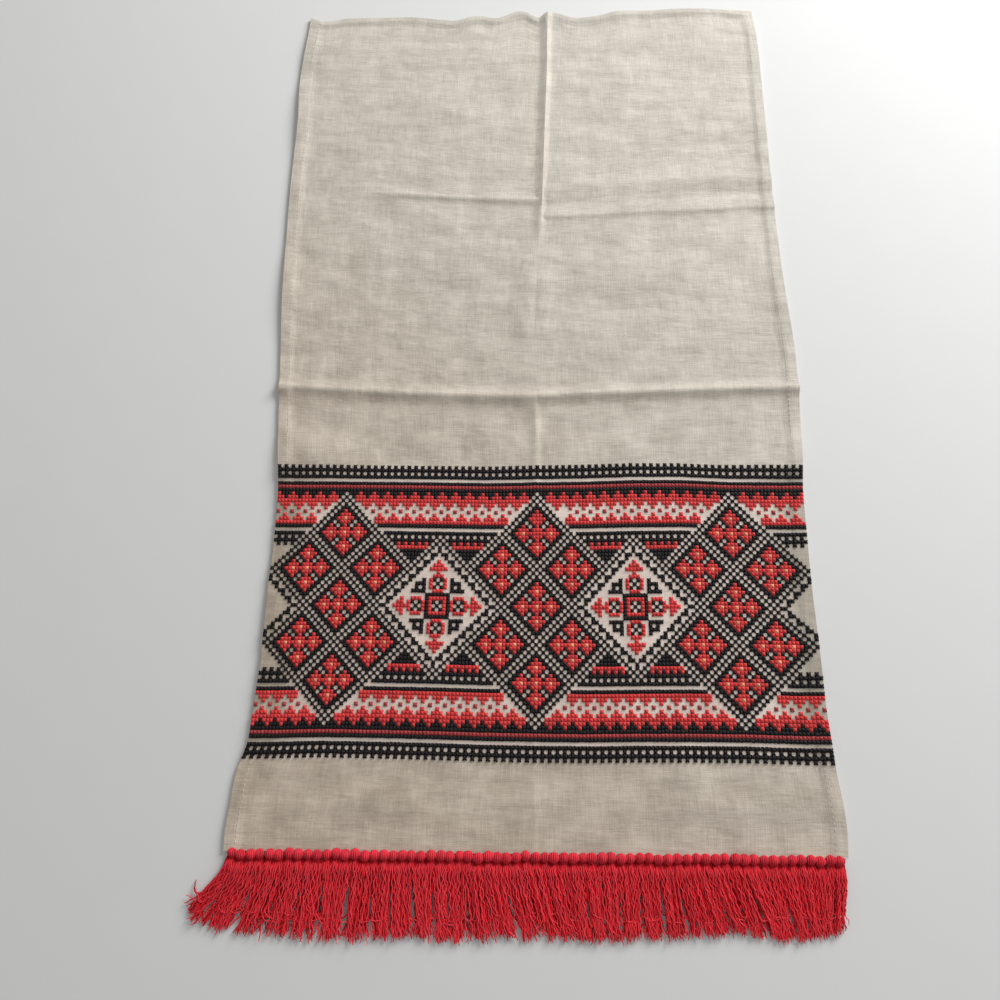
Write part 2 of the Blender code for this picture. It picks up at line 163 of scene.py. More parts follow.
# Low swells between the places where the cloth touches the table
SWELLS = table(
    "across along wide long height",
    (-0.160, 0.290, 0.050, 0.034, 0.0017),
    (0.160, 0.304, 0.055, 0.036, 0.0019),
    (0.070, 0.262, 0.060, 0.028, 0.0010),
    (-0.078, 0.236, 0.055, 0.032, 0.0011),
    (-0.192, 0.222, 0.036, 0.046, 0.0018),
    (0.186, 0.205, 0.032, 0.050, 0.0014),
    (-0.064, 0.086, 0.044, 0.026, 0.0013),
    (0.092, 0.078, 0.062, 0.034, 0.0011),
    (-0.196, 0.060, 0.034, 0.052, 0.0015),
    (-0.158, -0.072, 0.058, 0.026, 0.0020),
    (0.168, -0.072, 0.050, 0.026, 0.0020),
    (0.010, -0.070, 0.080, 0.020, 0.0012),
    (-0.192, -0.190, 0.026, 0.060, 0.0012),
    (0.190, -0.205, 0.026, 0.055, 0.0012),
    (-0.100, -0.300, 0.060, 0.018, 0.0009),
    (0.120, -0.304, 0.070, 0.018, 0.0009),
)

# Cloth thicknesses, hems, and the ends of the stitched band
PLAIN_THICK = 0.0012
STITCHED_THICK = 0.0016
HEM_THICK = 0.0021
SIDE_HEM_WIDTH = 0.0085
TOP_HEM_WIDTH = 0.006
BAND_TOP = -0.0780
BAND_BOTTOM = -0.2757
# Half the length of the step up to the band or a hem, and how far the mesh's nearest lines lie from a hem's
BAND_STEP = 0.0005
HEM_STEP = 0.0006
STEP_CLEARANCE = 0.0008

# The counted pattern: one cross for each cell, in columns from -76 to 76 and rows from 1 to 79
LAST_COLUMN = 76
LAST_ROW = 79
MIDDLE_ROW = 40
GROUP_SPACING = 56
UPPER_ROW = 9
LOWER_ROW = 71
# The middles of a lattice's flowers and of a flower's florets, and how many steps a motif reaches
FLOWERS = ((0, 20), (10, 30), (0, 40))
FLORETS = ((0, 0), (4, 0), (-4, 0), (0, 4), (0, -4))
FLOWER_REACH = 8
HEART_REACH = 14
# Rows counted from the nearer border: where the field begins, the dotted and full rows of its bars, and the
# rows left bare at the panel's sides. Then the columns that a bar fills.
FIELD_ROW = 21
DOTTED_ROW = 23
FULL_ROW = 24
BARE_ROWS = range(24, 30)
BAR_COLUMNS = range(4, 13)

# Border rows: at `every` so many columns from `first` one thread, and `between` them another or none
BORDERS = table(
    "rows every first thread between",
    ((1, 3), 2, 0, "black", None),
    ((5, 19), 1, 0, None, None),
    ((7,), 1, 0, "dull_red", None),
    ((9,), 4, 0, "red", "black"),
    ((10,), 4, 2, "black", "red"),
    ((11, 17), 1, 0, "red", None),
    ((12, 16), 4, 0, None, "red"),
    ((13, 15), 4, 2, "red", None),
    ((14,), 4, 0, "dull_red", None),
    ((21,), 2, 0, None, "black"),
)

# Where columns of the pattern fall across the panel, at its upper, middle and lower rows
COLUMN_PLACES = table(
    "column upper middle lower",
    (-56, -0.1325, -0.1344, -0.1389),
    (-28, -0.0664, -0.0683, -0.0719),
    (0, -0.0002, -0.0017, -0.0037),
    (14, 0.0319, 0.0312, 0.0296),
    (28, 0.0655, 0.0642, 0.0626),
    (42, 0.0992, 0.0980, 0.0973),
    (56, 0.1328, 0.1316, 0.1309),
)

# Where its rows fall along the panel
ROW_PLACES = table(
    "row along",
    (1, -0.0799),
    (9, -0.0996),
    (20, -0.1279),
    (30, -0.1527),
    (40, -0.1779),
    (50, -0.2027),
    (60, -0.2274),
    (71, -0.2544),
    (79, -0.2741),
)
ROW_STEP = 0.00246

# How far a row is pulled up at these columns, where the linen is not square
ROW_PULLS = table(
    "column upper middle lower",
    (-70, 0.0009, 0.0014, 0.0018),
    (-56, 0.0009, 0.0019, 0.0025),
    (-42, 0.0006, 0.0014, 0.0019),
    (-28, 0.0002, 0.0008, 0.0012),
    (-14, -0.0003, 0.0001, 0.0002),
    (0, 0.0002, 0.0001, -0.0004),
    (14, 0.0006, -0.0003, -0.0008),
    (28, 0.0017, 0.0001, -0.0005),
    (42, 0.0018, 0.0004, -0.0005),
    (56, 0.0004, -0.0004, -0.0009),
    (70, 0.0000, -0.0012, -0.0020),
)

# Cells where the stitcher strayed from the count: (column, row), and the thread that is there instead
STRAYED = {
    **dict.fromkeys(((8, 14), (75, 13), (76, 12), (76, 13), (76, 14))),
    **dict.fromkeys(((0, 16), (0, 20)), "red"),
}

# One leg of a cross from start to end: its height as the lower and as the upper leg, and its width
LEG = table(
    "share lower upper width",
    (0.0, -0.35, -0.35, 0.66),
    (0.20, 0.60, 0.62, 0.98),
    (0.5, 0.62, 1.25, 1.08),
    (0.80, 0.60, 0.62, 0.98),
    (1.0, -0.35, -0.35, 0.66),
)
# The threads of each stitched piece
STITCHED_PIECES = {"black_stitches": ("black",), "red_stitches": ("red", "dull_red", "salmon")}
# The rounded top of a flat thread, one unit wide
THREAD_PROFILE = ((-0.5, 0.0), (0.0, 0.42), (0.5, 0.0))

# Running stitches of the hems
HEM_STITCH_SPACING = 0.0034
HEM_STITCH_LENGTH = 0.0021
HEM_STITCH_WIDTH = 0.0005
HEM_STITCH_INSET = 0.0012
HEM_STITCH_RISE = (-0.0002, 0.0001, 0.0001, -0.0002)

# Fringe: lark's-head knots side by side along the fringed end
KNOT_COUNT = 65
FRINGE_LEFT = -0.1930
FRINGE_RIGHT = 0.1838
KNOT_YARN_WIDTH = 0.00150

# A knot's yarns from the cloth over its edge and down again: `forward` of the edge, `up` from the floor, and
# their `spread` as a share of the fullest
KNOT_PATH = table(
    "forward up spread",
    (0.0012, 0.0016, 0.62),
    (0.0004, 0.0030, 0.88),
    (-0.0008, 0.0037, 1.00),
    (-0.0021, 0.0037, 1.00),
    (-0.0033, 0.0030, 0.92),
    (-0.0041, 0.0019, 0.80),
    (-0.0044, 0.0008, 0.70),
)

# From the knot at `across`, the yarn's tips end `lean` to the side and `reach` further out.
SWEEPS = table(
    "across lean reach",
    (-0.194, -0.0205, 0.0262),
    (-0.186, -0.0225, 0.0338),
    (-0.172, -0.0165, 0.0388),
    (-0.156, -0.0095, 0.0410),
    (-0.118, -0.0050, 0.0430),
    (-0.076, 0.0020, 0.0415),
    (-0.050, 0.0010, 0.0425),
    (-0.028, 0.0080, 0.0400),
    (0.000, 0.0085, 0.0405),
    (0.030, 0.0030, 0.0415),
    (0.058, 0.0010, 0.0405),
    (0.086, 0.0070, 0.0385),
    (0.104, 0.0105, 0.0375),
    (0.128, 0.0105, 0.0390),
    (0.145, 0.0065, 0.0400),
    (0.160, 0.0020, 0.0385),
    (0.172, -0.0015, 0.0365),
    (0.184, -0.0062, 0.0345),
)
# Between these places, more of the yarn ends turn back in loops.
LOOPED_FROM = -0.172
LOOPED_TO = -0.122
# The yarn ends gather towards these places.
CLUMP_MIDDLES = (
    -0.190, -0.178, -0.164, -0.150, -0.139, -0.124, -0.108, -0.098, -0.086, -0.074, -0.062, -0.052, -0.041,
    -0.030, -0.017, -0.004, 0.006, 0.018, 0.030, 0.041, 0.052, 0.064, 0.076, 0.086, 0.096, 0.106, 0.116,
    0.128, 0.137, 0.149, 0.160, 0.171, 0.180,
)
YARN_POINTS = 25
GOLDEN_SHARE = 0.618
# The share of a knot's ends that lie underneath, and the share above which they lie on top
UNDERNEATH = 0.42
ON_TOP = 0.78

# Studio: the floor lies just under the cloth, and the camera tilts in degrees from looking straight down.
FLOOR_SIZE = 8.0
FLOOR_LEVEL = -0.0004
KEY_SIZE = 0.9
KEY_PLACE = (1.15, 1.15, 0.85)
KEY_TARGET = (0.0, 0.05, 0.0)
CAMERA_PLACE = (-0.0262, -0.2500, 0.5026)
CAMERA_TILT = 16.3
CAMERA_LENS = 27.04


def tint(name, description, default):
    return bpy.props.FloatVectorProperty(name=name, description=description, default=default, subtype="COLOR")


def length(name, description, default):
    return bpy.props.FloatProperty(name=name, description=description, default=default, unit="LENGTH")


class LinenSettings(bpy.types.PropertyGroup):
    """The linen panel."""

    thread_pitch: length("Thread pitch", "Space between the weave's threads", 0.00046)
    pale: tint("Pale linen", "Where the flax is bleached", (0.665, 0.625, 0.550))
    dark: tint("Dark linen", "Where the flax is raw", (0.455, 0.415, 0.350))
    # Painted shade: a warm darkening of the linen towards the lower left, where the light is weaker
    worn: tint("Shade tint", "Warmth of the handled end", (0.89, 0.80, 0.73))
    stitched: tint("Stitched linen", "Among the stitches", (0.90, 0.74, 0.68))
    # Painted shade in the band's margins, beside the stitches
    margin: tint("Margin tint", "Beside the stitches", (0.80, 0.79, 0.77))
    # Painted shadow in a line below the lower crease
    crease_shadow: tint("Shadow tint", "Below the lower crease", (0.85, 0.83, 0.81))


class ThreadSettings(bpy.types.PropertyGroup):
    """The embroidery threads."""

    width: length("Thread width", "Width of one leg of a cross", 0.00141)
    rise: length("Thread rise", "How far a leg stands off the linen", 0.00070)
    black: tint("Black thread", "Outlines and grounds", (0.008, 0.0056, 0.0066))
    red: tint("Red thread", "Flowers and bands", (0.70, 0.053, 0.052))
    dull_red: tint("Dull red thread", "Single red lines", (0.40, 0.050, 0.052))
    salmon: tint("Salmon thread", "Hearts of the flowers", (0.95, 0.36, 0.22))


class YarnSettings(bpy.types.PropertyGroup):
    """The fringe."""

    ends_per_knot: bpy.props.IntProperty(
        name="Ends per knot", description="Yarn ends that each knot lets go", default=26, min=2, max=40
    )
    width: length("Yarn width", "Thickness of one yarn end", 0.00092)
    red: tint("Yarn", "Colour of the wool", (0.78, 0.016, 0.027))
    # Painted shade: a darker copy of the wool for the ends underneath
    under_shade: tint("Shadowed yarn", "The wool underneath", (0.50, 0.008, 0.014))
    fluffed: tint("Fluffed yarn", "Where the wool is worn open", (0.84, 0.058, 0.078))
    # Painted highlight: a lighter, pinker copy of the wool for the knots' lit fuzz
    knot_highlight: tint("Knot yarn", "The wool of the knots", (0.90, 0.046, 0.070))


class StudioSettings(bpy.types.PropertyGroup):
    """The floor and the lights."""

    floor: tint("Floor", "Colour of the plain floor", (0.66, 0.66, 0.655))
    key_power: bpy.props.FloatProperty(
        name="Key light", description="Power of the big soft light", default=47.0, unit="POWER"
    )
    fill: bpy.props.FloatProperty(
        name="Fill", description="Strength of the light from all round", default=0.42, min=0.0
    )


class Wire:
    """A shader node's output. Arithmetic on it adds the Math nodes that work it out."""

    def __init__(self, finish, socket):
        self.finish = finish
        self.socket = socket

    def math(self, operation, *others):
        sockets = dict(enumerate((self, *others)))
        return self.finish.node("ShaderNodeMath", {"operation": operation}, sockets)

    def reflected(self, operation, other):
        return self.finish.node("ShaderNodeMath", {"operation": operation}, {0: other, 1: self})

    def __add__(self, other):
        return self.math("ADD", other)

    def __radd__(self, other):
        return self.reflected("ADD", other)

    def __sub__(self, other):
        return self.math("SUBTRACT", other)

    def __rsub__(self, other):
        return self.reflected("SUBTRACT", other)

    def __mul__(self, other):
        return self.math("MULTIPLY", other)

    def __rmul__(self, other):
        return self.reflected("MULTIPLY", other)

    def __pow__(self, other):
        return self.math("POWER", other)


class Finish:
    """A material with one Principled shader, and the method that adds a node to it."""

    def __init__(self, name, **constants):
        self.material = bpy.data.materials.new(name)
        self.material.use_nodes = True
        self.tree = self.material.node_tree
        self.shader = self.tree.nodes["Principled BSDF"]
        for socket, value in constants.items():
            self.shader.inputs[socket.replace("_", " ")].default_value = value

    def node(self, kind, settings=None, sockets=None, output=0):
        node = self.tree.nodes.new(kind)
        for name, value in (settings or {}).items():
            setattr(node, name, value)
        for key, value in (sockets or {}).items():
            self.plug(node.inputs[key], value)
        return Wire(self, node.outputs[output])

    def plug(self, socket, value):
        if isinstance(value, Wire):
            self.tree.links.new(value.socket, socket)
        else:
            socket.default_value = value

    def set(self, socket, value):
        self.plug(self.shader.inputs[socket], value)

    def on_cloth(self):
        return self.node("ShaderNodeUVMap", {"uv_map": "UVMap"})

    def in_space(self):
        return self.node("ShaderNodeTexCoord", output="Object")

    def stretched(self, place, scale):
        return self.node("ShaderNodeVectorMath", {"operation": "MULTIPLY"}, {0: place, 1: scale})

    def noise(self, place, scale, detail, roughness):
        sockets = {"Vector": place, "Scale": scale, "Detail": detail, "Roughness": roughness}
        return self.node("ShaderNodeTexNoise", None, sockets)

    def axis(self, place, name):
        return self.node("ShaderNodeSeparateXYZ", None, {0: place}, name)

    def between(self, value, low, high):
        sockets = {"Value": value, "From Min": low, "From Max": high}
        return self.node("ShaderNodeMapRange", {"interpolation_type": "SMOOTHSTEP"}, sockets)

    def within(self, value, rise, fall):
        """0 before the rise, 1 between the rise and the fall, and 0 after the fall."""
        return self.between(value, *rise) - self.between(value, *fall)

    def blend(self, factor, first, second, how="MIX"):
        settings = {"data_type": "RGBA", "blend_type": how}
        return self.node("ShaderNodeMix", settings, {0: factor, 6: rgba(first), 7: rgba(second)}, 2)

    def dyed(self, dye, fibres, low, high, color):
        """The colour where the dye took, running to a darker one where it did not."""
        darker = tuple(channel * 0.62 for channel in color)
        return self.blend(self.between(dye * 0.6 + fibres * 0.4, low, high), darker, color)

    def bump(self, height, distance, strength, normal=None):
        sockets = {"Height": height, "Distance": distance, "Strength": strength}
        if normal is not None:
            sockets["Normal"] = normal
        return self.node("ShaderNodeBump", None, sockets)


def rgba(color):
    """A colour with its alpha, or the wire that carries one."""
    return color if isinstance(color, Wire) else (*color[:3], 1.0)


def smooth_curve(rows, column, at):
    """Reads a table's column as a smooth curve over its first one: a cubic between each pair of rows."""
    places = np.array([row[0] for row in rows])
    values = np.array([getattr(row, column) for row in rows])
    slopes = np.gradient(values, places)
    at = np.clip(at, places[0], places[-1])
    i = np.clip(np.searchsorted(places, at, side="right") - 1, 0, len(places) - 2)
    step = places[i + 1] - places[i]
    t = (at - places[i]) / step
    return (
        (2 * t**3 - 3 * t**2 + 1) * values[i]
        + (t**3 - 2 * t**2 + t) * step * slopes[i]
        + (3 * t**2 - 2 * t**3) * values[i + 1]
        + (t**3 - t**2) * step * slopes[i + 1]
    )


def bell(distance):
    """A smooth rise and fall that is 1 at the middle and exactly 0 from a distance of 1 outwards."""
    t = np.clip(distance, 0.0, 1.0)
    return (1.0 - t * t) ** 2


def crest(distance, above, above_bend, below, below_bend):
    """A sharp crest that is 1 at the middle and falls to 0 over its own width on each side."""
    beyond = np.clip(1.0 - distance / above, 0.0, 1.0) ** above_bend
    before = np.clip(1.0 + distance / below, 0.0, 1.0) ** below_bend
    return np.where(distance > 0.0, beyond, before)


def ease(low, high, value):
    """0 at low, 1 at high, with soft ends."""
    t = np.clip((value - low) / (high - low), 0.0, 1.0)
    return t * t * (3.0 - 2.0 * t)


def step_at(place, half, value):
    """0 before the place and 1 beyond it, with a soft step between."""
    return ease(place - half, place + half, value)


def bottom_edge(across):
    """The fringed end is straight and runs a little downhill to the right."""
    return PANEL_BOTTOM + BOTTOM_TURN * across


def crease_across(along):
    """Where the long crease runs."""
    return smooth_curve(LONG_CREASE, "across", along)


def crease_climb(crease, distance):
    """How far a cross crease has climbed at this distance from the long crease."""
    return crease.climb * np.clip(distance / crease.over, 0.0, 1.0) ** crease.bend


def underside(across, along):
    """Height of the cloth's underside over the table, 0 where it touches."""
    from_crease = across - crease_across(along)
    distance = np.abs(from_crease)
    ridge = np.maximum(0.0, smooth_curve(LONG_CREASE, "ridge", along))
    lift = ridge * crest(from_crease, RIDGE_RIGHT, RIDGE_RIGHT_BEND, RIDGE_LEFT, RIDGE_LEFT_BEND)
    for crease in CROSS_CREASES:
        from_crest = along - crease.along - crease_climb(crease, distance)
        dying = 1.0 - ease(0.6 * crease.until, crease.until, distance)
        on_its_side = from_crease <= 0.0 if crease.side == "left" else from_crease >= 0.0
        share = crest(from_crest, crease.far, crease.far_bend, crease.near, crease.near_bend)
        lift = np.maximum(lift, crease.height * dying * on_its_side * share)
    banks = np.maximum(0.0, smooth_curve(LONG_CREASE, "banks", along))
    banks = banks * ease(-BANKS_FROM, BANKS_FROM, distance)
    lift = lift + banks * (1.0 - ease(BANKS_FROM, BANKS_TO, distance))
    for swell in SWELLS:
        reach = np.hypot((across - swell.across) / swell.wide, (along - swell.along) / swell.long)
        lift = lift + swell.height * bell(reach)
    return lift


def edges_at(along):
    """The panel's left and right edges."""
    return smooth_curve(SIDE_EDGES, "left", along), smooth_curve(SIDE_EDGES, "right", along)


def panel_point(share, along):
    """A place on the panel seen from above: share is 0 at the left edge and 1 at the right edge."""
    left, right = edges_at(along)
    bend = crease_across(along) - (left + CREASE_SHARE * (right - left))
    to_edge = np.where(share < CREASE_SHARE, CREASE_SHARE, 1.0 - CREASE_SHARE)
    bend_share = 1.0 - np.abs(share - CREASE_SHARE) / to_edge
    across = left + share * (right - left) + bend * bend_share
    from_crease = across - crease_across(along)
    climb = 0.0
    for zone in CLIMB_ZONES:
        zone_share = ease(zone.start, zone.full_from, along) * (1.0 - ease(zone.full_to, zone.end, along))
        left_climb = crease_climb(zone.left, np.abs(from_crease))
        right_climb = crease_climb(zone.right, np.abs(from_crease))
        climb = climb + zone_share * np.where(from_crease < 0.0, left_climb, right_climb)
    top_share = ease(PANEL_TOP - EDGE_FADE, PANEL_TOP, along)
    bottom_share = ease(PANEL_BOTTOM + EDGE_FADE, PANEL_BOTTOM, along)
    moved = along + climb + top_share * (smooth_curve(TOP_EDGE, "along", across) - PANEL_TOP)
    return across, moved + bottom_share * (bottom_edge(across) - PANEL_BOTTOM)


def thickness(across, along):
    """The cloth's thickness: more under the stitching, and most in the turned hems."""
    left, right = edges_at(along)
    stitched = step_at(BAND_BOTTOM, BAND_STEP, along) * (1.0 - step_at(BAND_TOP, BAND_STEP, along))
    thick = PLAIN_THICK + (STITCHED_THICK - PLAIN_THICK) * stitched
    to_side = np.minimum(across - left, right - across)
    to_top = smooth_curve(TOP_EDGE, "along", across) - along
    hemmed = 1.0 - step_at(SIDE_HEM_WIDTH, HEM_STEP, to_side)
    hemmed = np.maximum(hemmed, 1.0 - step_at(TOP_HEM_WIDTH, HEM_STEP, to_top))
    return thick + (HEM_THICK - thick) * hemmed


def sections(*spans):
    """Places along several spans, evenly from low to high in each and no further apart than its spacing."""
    places = []
    for low, high, spacing in spans:
        count = max(1, math.ceil((high - low) / spacing - 1e-6))
        places.append(np.linspace(low, high, count + 1))
    return np.unique(np.concatenate(places).round(6))


def panel_shares():
    """The columns of the panel's mesh, as shares of its width: closest at the long crease."""
    hem = SIDE_HEM_WIDTH / PANEL_WIDTH
    step = STEP_CLEARANCE / PANEL_WIDTH
    left_foot = CREASE_SHARE - RIDGE_LEFT / PANEL_WIDTH
    right_foot = CREASE_SHARE + RIDGE_RIGHT / PANEL_WIDTH
    at_hem, on_plain, on_ridge = (spacing / PANEL_WIDTH for spacing in (0.0030, 0.0034, 0.0012))
    return sections(
        (0.0, hem - step, at_hem),
        (hem + step, left_foot, on_plain),
        (left_foot, CREASE_SHARE, on_ridge),
        (CREASE_SHARE, right_foot, on_ridge),
        (right_foot, 1.0 - hem - step, on_plain),
        (1.0 - hem + step, 1.0, at_hem),
    )


def panel_rows():
    """The rows of the panel's mesh, as places along it: closest at the cross creases."""
    lower_foot = LOWER_LEFT.along - LOWER_LEFT.near
    lower_head = LOWER_LEFT.along + LOWER_LEFT.far
    upper_foot = UPPER_RIGHT.along - UPPER_RIGHT.near
    upper_head = UPPER_LEFT.along + UPPER_LEFT.far
    hem = PANEL_TOP - TOP_HEM_WIDTH
    return sections(
        (PANEL_BOTTOM, lower_foot, 0.0040),
        (lower_foot, LOWER_LEFT.along, 0.0013),
        (LOWER_LEFT.along, lower_head, 0.0013),
        (lower_head, upper_foot, 0.0038),
        (upper_foot, UPPER_RIGHT.along, 0.0012),
        (UPPER_RIGHT.along, UPPER_LEFT.along, 0.0013),
        (UPPER_LEFT.along, upper_head, 0.0013),
        (upper_head, hem - STEP_CLEARANCE, 0.0038),
        (hem + STEP_CLEARANCE, PANEL_TOP, 0.0030),
    )


def deselect_all():
    for obj in bpy.context.selected_objects:
        obj.select_set(False)


def add_object(name, data):
    """A new object in the scene, at the origin."""
    obj = bpy.data.objects.new(name, data)
    bpy.context.scene.collection.objects.link(obj)
    return obj


def select_only(obj):
    deselect_all()
    obj.select_set(True)
    bpy.context.view_layer.objects.active = obj


def ribbon_profile():
    """The top of a flat thread, for the curves to carry along."""
    curve = bpy.data.curves.new("thread_profile", "CURVE")
    curve.dimensions = "2D"
    spline = curve.splines.new("POLY")
    spline.points.add(2)
    for point, (across, up) in zip(spline.points, THREAD_PROFILE):
        point.co = (across, up, 0.0, 1.0)
    return add_object("thread_profile", curve)


Strand = namedtuple("Strand", "points widths finish")


def lay_strands(name, strands, finishes, flat):
    """Lays every strand along its points, with the finish of that name, and joins them in one mesh.

    Flat ones are open underneath.
    """
    curve = bpy.data.curves.new(name, "CURVE")
    curve.dimensions = "3D"
    curve.twist_mode = "Z_UP"
    for finish in finishes.values():
        curve.materials.append(finish.material)
    slots = list(finishes)
    profile = None
    if flat:
        profile = ribbon_profile()
        curve.bevel_mode = "OBJECT"
        curve.bevel_object = profile
    else:
        curve.bevel_depth = 0.5
        curve.bevel_resolution = 0
        curve.use_fill_caps = True
    for strand in strands:
        spline = curve.splines.new("POLY")
        spline.points.add(len(strand.points) - 1)
        corners = np.ones((len(strand.points), 4), np.float32)
        corners[:, :3] = strand.points
        spline.points.foreach_set("co", corners.ravel())
        spline.points.foreach_set("radius", np.asarray(strand.widths, np.float32))
        spline.material_index = slots.index(strand.finish)
        spline.use_smooth = True
    select_only(add_object(name, curve))
    bpy.ops.object.convert(target="MESH")
    piece = bpy.context.object
    bpy.ops.object.shade_smooth()
    if profile is not None:
        bpy.data.objects.remove(profile, do_unlink=True)
    return piece


def linen_finish(settings):
    """Plain-weave linen: warp and weft, slubs along both, and broad mottling.

    It is darker and warmer towards the lower left, a painted shade where the light is weaker, and its
    mottling is stronger there. It is lighter and pinker among the stitches, darker in the margins beside them
    as painted shade, and darker in a line below the lower crease as a painted shadow.
    """
    finish = Finish("linen", Roughness=0.93, Sheen_Weight=0.25, Sheen_Roughness=0.6, Specular_IOR_Level=0.25)
    place = finish.on_cloth()
    across = finish.axis(place, "X")
    along = finish.axis(place, "Y")
    turns = math.pi / settings.thread_pitch
    warp = (across * turns).math("SINE")
    weft = (along * turns).math("SINE")
    weave = (warp * weft).math("ABSOLUTE")
    warp_slubs = finish.noise(finish.stretched(place, (1300.0, 52.0, 1.0)), 1.0, 2.0, 0.6)
    weft_slubs = finish.noise(finish.stretched(place, (62.0, 1150.0, 1.0)), 1.0, 2.0, 0.6)
    mottle = finish.noise(place, 42.0, 4.0, 0.65)
    wrinkles = finish.noise(finish.stretched(place, (22.0, 62.0, 1.0)), 1.0, 3.0, 0.45)
    pulls = finish.noise(finish.stretched(place, (55.0, 20.0, 1.0)), 1.0, 2.0, 0.5)
    # Painted shade: this mask grows towards the lower left, where the light is weaker; there the linen is
    # darker and warmer, and its mottling stronger
    shaded = finish.between(along * -1.0 - across * 0.9, -0.51, 0.35)
    tone = finish.between(warp_slubs * 0.40 + weft_slubs * 0.37 + mottle * 0.50, 0.40, 0.87)
    color = finish.blend(tone + (mottle - 0.5) * shaded * 1.3, settings.dark, settings.pale)
    color = finish.blend(shaded, color, settings.worn, "MULTIPLY")
    in_band = finish.within(along, (BAND_BOTTOM, BAND_BOTTOM + 0.004), (BAND_TOP - 0.004, BAND_TOP))
    inner = finish.within(across, (0.008, 0.034), (PANEL_WIDTH - 0.034, PANEL_WIDTH - 0.008))
    color = finish.blend(in_band * inner * 0.42, color, settings.stitched)
    # Painted shade: the band's margins beside the stitches are darker
    color = finish.blend(in_band - in_band * inner, color, settings.margin, "MULTIPLY")
    # Painted shadow: a darker line just below the lower crease
    crease = LOWER_LEFT.along
    crease_shadow = finish.within(along, (crease - 0.018, crease - 0.003), (crease - 0.0032, crease - 0.0004))
    finish.set("Base Color", finish.blend(crease_shadow, color, settings.crease_shadow, "MULTIPLY"))
    surface = finish.bump(wrinkles + pulls * 0.6, 0.0032, 0.8)
    surface = finish.bump(warp_slubs + weft_slubs, 0.00022, 0.7, surface)
    finish.set("Normal", finish.bump(weave, 0.00012, 0.8, surface))
    return finish


def thread_finish(name, color, roughness=0.62):
    """Stranded embroidery cotton: fine twisted fibres and slightly uneven dye."""
    finish = Finish(name + "_thread", Roughness=roughness, Specular_IOR_Level=0.22)
    place = finish.in_space()
    fibres = finish.noise(place, 3800.0, 2.0, 0.6)
    dye = finish.noise(place, 260.0, 2.0, 0.5)
    finish.set("Base Color", finish.dyed(dye, fibres, 0.30, 0.62, color))
    finish.set("Normal", finish.bump(fibres, 0.00012, 0.7))
    return finish


def yarn_finish(name, wool, fluffed, fluff):
    """Loose wool: soft fibres, pinker where the tips are fluffed out, and deeper close to the knots."""
    finish = Finish(name, Roughness=0.9, Sheen_Weight=0.12, Sheen_Roughness=0.5, Specular_IOR_Level=0.12)
    finish.set("Sheen Tint", (1.0, 0.12, 0.12, 1.0))
    place = finish.in_space()
    fibres = finish.noise(place, 2600.0, 3.0, 0.65)
    dye = finish.noise(finish.stretched(place, (1.0, 0.25, 1.0)), 420.0, 2.0, 0.5)
    down = finish.axis(place, "Y") * -1.0
    towards_tip = finish.between(down, 0.352, 0.380)
    color = finish.dyed(dye, fibres, 0.32, 0.60, wool)
    color = finish.blend(towards_tip * (1.0 - fluff) * 0.4 + fluff, color, fluffed)
    from_knot = finish.between(down, 0.333, 0.354)
    finish.set("Base Color", finish.blend(1.0 - from_knot, color, (0.80, 0.84, 0.86), "MULTIPLY"))
    finish.set("Normal", finish.bump(fibres, 0.00025, 0.8))
    return finish


def counted_thread(column, row):
    """The thread of a cross in the counted pattern, or nothing where the linen is left bare."""
    if (column, row) in STRAYED:
        return STRAYED[column, row]
    near_row = min(row, LAST_ROW + 1 - row)
    group = (column + GROUP_SPACING // 2) % GROUP_SPACING - GROUP_SPACING // 2
    beside = abs(column % GROUP_SPACING - GROUP_SPACING // 2)
    outside = abs(column) > GROUP_SPACING
    to_flower, flower_cell = nearest_flower(group, near_row)
    if to_flower <= FLOWER_REACH:
        return flower_thread(*flower_cell)
    if to_flower == FLOWER_REACH + 2:
        return "black"
    if to_flower in (FLOWER_REACH + 1, FLOWER_REACH + 3):
        return None
    if outside and near_row == DOTTED_ROW:
        return "black" if group % 2 else None
    if outside and near_row in BARE_ROWS:
        return None
    if near_row >= FIELD_ROW:
        down = abs(MIDDLE_ROW - row)
        beyond_heart = beside + down - HEART_REACH
        if beyond_heart <= 0:
            return None if outside else heart_thread(beside, down)
        if beyond_heart == 2:
            return "black" if near_row % 2 == 0 else None
        if beyond_heart in (3, 5):
            return None
        if beyond_heart in (1, 4):
            return "black"
    return band_thread(column, near_row, beside)


def nearest_flower(group, row):
    """Steps to the nearest flower of the lattice, and the cell counted from that flower's middle."""
    cells = [(abs(group) - across, row - down) for across, down in FLOWERS]
    cell = min(cells, key=lambda place: abs(place[0]) + abs(place[1]))
    return abs(cell[0]) + abs(cell[1]), cell


def flower_thread(across, down):
    """One flower: five small florets in a cross, bare dots between them, on black."""
    steps = min(abs(across - x) + abs(down - y) for x, y in FLORETS)
    if steps == 0:
        return "salmon"
    if steps <= 2:
        return "red"
    if abs(across) == abs(down) and abs(across) in (2, 3):
        return None
    return "black"


